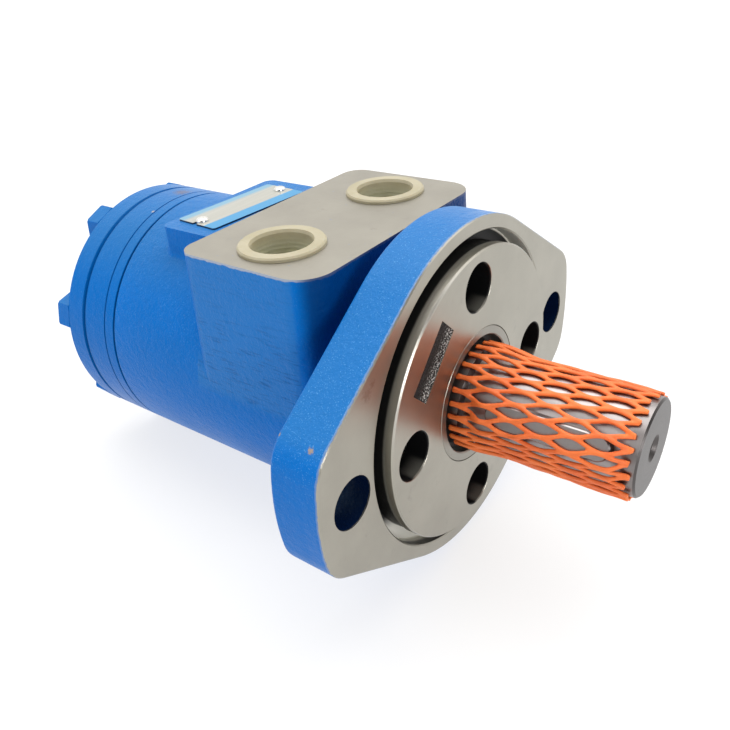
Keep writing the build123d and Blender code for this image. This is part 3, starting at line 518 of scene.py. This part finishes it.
def nameplate_finish():
    """Thin aluminium plate: bare middle, printed bands along both long edges."""
    s = Shader("nameplate_aluminium_printed")
    x, y, z = s.axes(s.position)
    from_x, from_y = (s.math("SUBTRACT", a, b) for a, b in zip((x, y), PLATE_CENTRE))
    local = s.math("SUBTRACT", s.both(from_x, PLATE_COS), s.both(from_y, PLATE_SIN))
    across = s.spread(local, 0.0, 1.0, -PLATE_HALF_WIDTH, PLATE_HALF_WIDTH)
    front_band = s.step(across, 0.70, 0.74)
    rear_band = s.both(s.step(across, 0.24, 0.10), 0.75)
    brush = s.noise(1800, 2, vector=s.stretch(s.position, (1.0, 0.03, 1.0)))
    base = s.tint(PLATE_BARE, brush, 0.86, 1.12)
    colour = s.mix(front_band, base, PLATE_FRONT)
    colour = s.mix(rear_band, colour, PLATE_REAR)
    printed = s.either(front_band, rear_band)
    # painted shade: the plate's sides, down in the gap by the port face, are near-black navy
    edge = s.step(z, 0.04196, 0.04190)
    colour = s.mix(edge, colour, PLATE_EDGE_SHADE)
    metallic = s.both(s.no(s.either(printed, edge)), 0.6)
    return s.finish(colour, 0.42, metallic, s.bump(brush, 0.00001))


def rubber_finish():
    """Black rubber with an uneven sheen."""
    s = Shader("seal_rubber_black")
    sheen = s.noise(350, 3)
    return s.finish(s.tint(RUBBER, sheen), s.spread(sheen, 0.32, 0.55), 0.0,
                    s.bump(s.noise(900, 2), 0.00003))


# ---------------------------------------------------------------- shaft net, in millimetres

NET_COLUMNS = 25
NET_FIRST_ANGLE = 108.2
NET_PITCH = 360 / NET_COLUMNS
NET_ENDS = (1.9, 48.7)
NET_NODE_X = (-4.2, 3.6, 11.9, 19.6, 27.3, 34.9, 42.2, 49.2, 56.0)
STRAND_R = 0.64
STRAND_STEPS = 96
SKIN_VOXEL = 0.21
SHAFT_R = 12.7
JOURNAL_R = 14.0
JOURNAL_END_X = 5.2
NET_EASE_X = 13.0  # how far past the journal the taut net takes to settle on the shaft
KEY_ANGLE = 157.7
KEY_TOP_R = 15.55
KEY_HALF_WIDTH = 3.175
KEY_SPAN_X = (12.4, 44.15)


def smooth(t):
    """Eased 0 to 1."""
    t = max(0.0, min(1.0, t))
    return t * t * (3 - 2 * t)


def net_seat(x, angle):
    """Radius of what the net is stretched over: journal, shaft, and the key's two top edges."""
    seat = SHAFT_R + (JOURNAL_R - SHAFT_R) * smooth((JOURNAL_END_X + NET_EASE_X - x) / NET_EASE_X)
    from_key = abs((angle - KEY_ANGLE + 180) % 360 - 180)
    corner_r = math.hypot(KEY_TOP_R, KEY_HALF_WIDTH)
    corner = math.degrees(math.atan2(KEY_HALF_WIDTH, KEY_TOP_R))
    leave = corner + math.degrees(math.acos(SHAFT_R / corner_r))
    if from_key < corner:
        over_key = KEY_TOP_R / math.cos(math.radians(from_key))
    elif from_key < leave:
        over_key = SHAFT_R / math.cos(math.radians(leave - from_key))
    else:
        over_key = SHAFT_R
    start, end = KEY_SPAN_X
    ramp = smooth((x - start + 5) / 5) * smooth((end + 4 - x) / 4)
    return max(seat, seat + (over_key - SHAFT_R) * ramp)


def node_count_at(x):
    """How many rows of crossings lie before a station, as a smooth number."""
    for i in range(len(NET_NODE_X) - 1):
        if x <= NET_NODE_X[i + 1]:
            return i + (x - NET_NODE_X[i]) / (NET_NODE_X[i + 1] - NET_NODE_X[i])
    return len(NET_NODE_X) - 1.0


def net_strand_points(strand, rng):
    """Centre line of one wavy strand, in metres."""
    start = NET_ENDS[0] + rng.uniform(-0.25, 0.25)
    end = NET_ENDS[1] + rng.uniform(-1.1, 0.3)
    drift = rng.uniform(-0.25, 0.25)
    phase = rng.uniform(0, 6.28)
    points = []
    for i in range(STRAND_STEPS + 1):
        x = start + (end - start) * i / STRAND_STEPS
        rows = node_count_at(x + 0.25 * math.sin(0.35 * x + 1.7 * (strand // 2)))
        swing = math.cos(math.pi * (rows + strand))
        twist = -0.2 * (x - 12)
        angle = NET_FIRST_ANGLE + NET_PITCH / 2 * (strand - 0.5) + twist
        below = max(0.0, -math.sin(math.radians(angle + 12)))
        angle += (0.95 - 0.5 * below) * NET_PITCH / 4 * swing + drift * math.sin(0.3 * x + phase)
        lift = 0.58 + 0.10 * math.sin(0.41 * x + phase) + 0.45 * below * smooth(x / 20)
        radius = net_seat(x, angle) + lift
        a = math.radians(angle)
        points.append(Vector((x, radius * math.cos(a), radius * math.sin(a))) * MM)
    return points


def sweep(mesh, points, radius_of, sides=8, flat=1.0):
    """A closed tube along points, drawn into a bmesh; flat squeezes it towards the shaft axis."""
    rings = []
    for i, point in enumerate(points):
        ahead = points[min(i + 1, len(points) - 1)]
        behind = points[max(i - 1, 0)]
        along = (ahead - behind).normalized()
        out = Vector((0, point.y, point.z)).normalized()
        side = along.cross(out).normalized()
        out = side.cross(along)
        r = radius_of(i)
        rings.append([
            mesh.verts.new(point + side * (r * math.cos(t)) + out * (flat * r * math.sin(t)))
            for t in (2 * math.pi * k / sides for k in range(sides))
        ])
    for one, two in zip(rings, rings[1:]):
        for k in range(sides):
            mesh.faces.new((one[k], one[(k + 1) % sides], two[(k + 1) % sides], two[k]))
    mesh.faces.new(list(reversed(rings[0])))
    mesh.faces.new(rings[-1])


def object_from(mesh, name, material):
    """A new object of a finished bmesh."""
    data = bpy.data.meshes.new(name)
    bmesh.ops.recalc_face_normals(mesh, faces=mesh.faces)
    mesh.to_mesh(data)
    mesh.free()
    data.materials.append(material)
    piece = bpy.data.objects.new(name, data)
    bpy.context.scene.collection.objects.link(piece)
    return piece


def apply_modifier(piece, kind, **settings):
    """Add a modifier, set it and apply it to the mesh."""
    modifier = piece.modifiers.new(kind.lower(), kind)
    for name, value in settings.items():
        setattr(modifier, name, value)
    bpy.context.view_layer.objects.active = piece
    bpy.ops.object.modifier_apply(modifier=modifier.name)


def make_net(plastic):
    """Extruded plastic netting: two wavy strands a column, welded where they meet, made one skin."""
    rng = random.Random(7)
    mesh = bmesh.new()
    for strand in range(2 * NET_COLUMNS):
        points = net_strand_points(strand, rng)
        swell = rng.uniform(0.94, 1.06)
        ripple = rng.uniform(0, 6.28)

        def radius_of(i):
            return STRAND_R * MM * swell * (1 + 0.05 * math.sin(0.5 * i + ripple))

        sweep(mesh, points, radius_of, flat=0.8)
    piece = object_from(mesh, "shaft_net_strands", plastic)
    apply_modifier(piece, "REMESH", mode="VOXEL", voxel_size=SKIN_VOXEL * MM)
    apply_modifier(piece, "SMOOTH", factor=0.5, iterations=5)
    piece.data.materials.clear()
    piece.data.materials.append(plastic)
    for face in piece.data.polygons:
        face.use_smooth = True
    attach(piece, "net")
    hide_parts("shaft_net")


# ---------------------------------------------------------------- floor and room

FLOOR_HALF = 3.0
FLOOR_GAP = 0.0002  # between the floor and the lowest edges, so that they don't fight
FLOOR_GREY = (0.24, 0.24, 0.24)
WHITE_SIDE = Vector((-0.45, 0.75, 0.35))  # the room is white on this side
LIGHTS = (
    # name, place, target, size, watts
    ("overhead", (-0.15, 0.15, 0.9), (-0.04, 0, 0), (1.0, 1.0), 9),
    ("front_left", (-0.45, -0.8, 0.6), (-0.04, 0, 0), (0.9, 0.7), 3.5),
    ("right", (0.5, 0.6, 0.8), (0.0, 0, 0), (0.7, 0.7), 2.0),
    ("front", (0.95, -0.30, 0.25), (0.0, 0, 0), (0.4, 0.4), 4.0),
)


def make_floor():
    """A wide pale floor that the motor stands on with its flange and its lowest end-cap bolt."""
    flange_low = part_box("mounting_flange")[0]
    bolts_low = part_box("end_cap_bolts")[0]
    heel = Vector((flange_low.x, 0, flange_low.z))
    toe = Vector((bolts_low.x, 0, bolts_low.z))
    slope = math.atan2(toe.z - heel.z, heel.x - toe.x)
    mesh = bmesh.new()
    corners = [mesh.verts.new((FLOOR_HALF * a, FLOOR_HALF * b, 0))
               for a, b in ((-1, -1), (1, -1), (1, 1), (-1, 1))]
    mesh.faces.new(corners)
    s = Shader("floor_white")
    cloud = s.noise(6, 3)
    away = s.radius(plane="xy")
    floor = object_from(mesh, "floor", s.finish(
        s.tint(FLOOR_GREY, cloud, 0.99, 1.01), 0.8,
        Emission_Color=(1, 1, 1), Emission_Strength=s.step(away, 0.2, 0.9, 0.72, 0.98),
    ))
    below = heel - Vector((0, 0, FLOOR_GAP))
    floor.matrix_world = Matrix.Translation(below) @ Matrix.Rotation(slope, 4, "Y")


def make_world():
    """A white room behind the motor that falls off to grey in front of it."""
    world = bpy.data.worlds.new("studio")
    bpy.context.scene.world = world
    world.use_nodes = True
    tree = world.node_tree
    where = tree.nodes.new("ShaderNodeTexCoord")
    along = tree.nodes.new("ShaderNodeVectorMath")
    along.operation = "DOT_PRODUCT"
    tree.links.new(where.outputs["Generated"], along.inputs[0])
    along.inputs[1].default_value = WHITE_SIDE.normalized()
    ramp = tree.nodes.new("ShaderNodeMapRange")
    ramp.interpolation_type = "SMOOTHSTEP"
    tree.links.new(along.outputs["Value"], ramp.inputs["Value"])
    for name, number in (("From Min", -0.3), ("From Max", 0.7), ("To Min", 0.22), ("To Max", 1.05)):
        ramp.inputs[name].default_value = number
    background = tree.nodes["Background"]
    background.inputs["Color"].default_value = (1.0, 0.99, 0.97, 1)
    tree.links.new(ramp.outputs["Result"], background.inputs["Strength"])


# ---------------------------------------------------------------- put together

def give(material, *names):
    """Put a finish on CAD nodes."""
    for name in names:
        data = nodes[name].data
        data.materials.clear()
        data.materials.append(material)


make_camera()
bpy.context.scene.view_settings.view_transform = "Standard"

flange_blue = flange_finish()
housing_blue = housing_finish()
section_blue = painted_finish("section_enamel_blue", 0.75)
bolt_blue = painted_finish("bolt_enamel_blue", 0.45)
shaft_steel = steel_finish("shaft_turned_steel", (0.34, 0.312, 0.305), 0.28, 0.44, painted_face_shade=0.3,
                           dark_from=0.0462)
ring_steel = steel_finish("dust_ring_steel", (0.30, 0.285, 0.25), 0.28, 0.42)
ground_steel = steel_finish("bearing_ground_steel", (0.62, 0.62, 0.62), 0.12, 0.22, 0.0005, 0.00001)
black_steel = steel_finish("screw_black_oxide", (0.14, 0.14, 0.145), 0.2, 0.34)
rivet_steel = steel_finish("rivet_bright_steel", (0.85, 0.84, 0.80), 0.2, 0.26, 0.0006, 0.000001, 0.0)
rubber = rubber_finish()
ptfe = plastic_finish("backup_ring_ptfe", (0.75, 0.75, 0.73), (0.65, 0.65, 0.62), 0.5, 0.1)
plate = nameplate_finish()
plastic_cream = plug_finish()
plastic_net = plastic_finish("net_orange_plastic", (0.90, 0.19, 0.035), (0.80, 0.14, 0.025), 0.55, 0.06)

give(flange_blue, "mounting_flange")
give(housing_blue, "housing")
give(section_blue, "spacer_plate", "gerotor_ring", "end_cap")
give(bolt_blue, "end_cap_bolts")
give(shaft_steel, "output_shaft", "shaft_key")
give(ring_steel, "dust_seal_ring")
give(ground_steel, "thrust_race", "thrust_needle_cage", "gerotor_star", "drive_link", "drive_spacer",
     *(f"gerotor_roller_{k}" for k in range(1, 8)))
give(black_steel, "flange_screws")
give(rivet_steel, "nameplate_rivets")
give(rubber, "dust_seal_lip", "shaft_seal", "flange_seal", "body_seal_front", "body_seal_middle",
     "body_seal_rear")
give(ptfe, "backup_ring")
give(plate, "nameplate")
give(plastic_cream, "port_plug_front", "port_plug_rear")
make_net(plastic_net)

make_floor()
for light in LIGHTS:
    make_light(*light)
make_world()
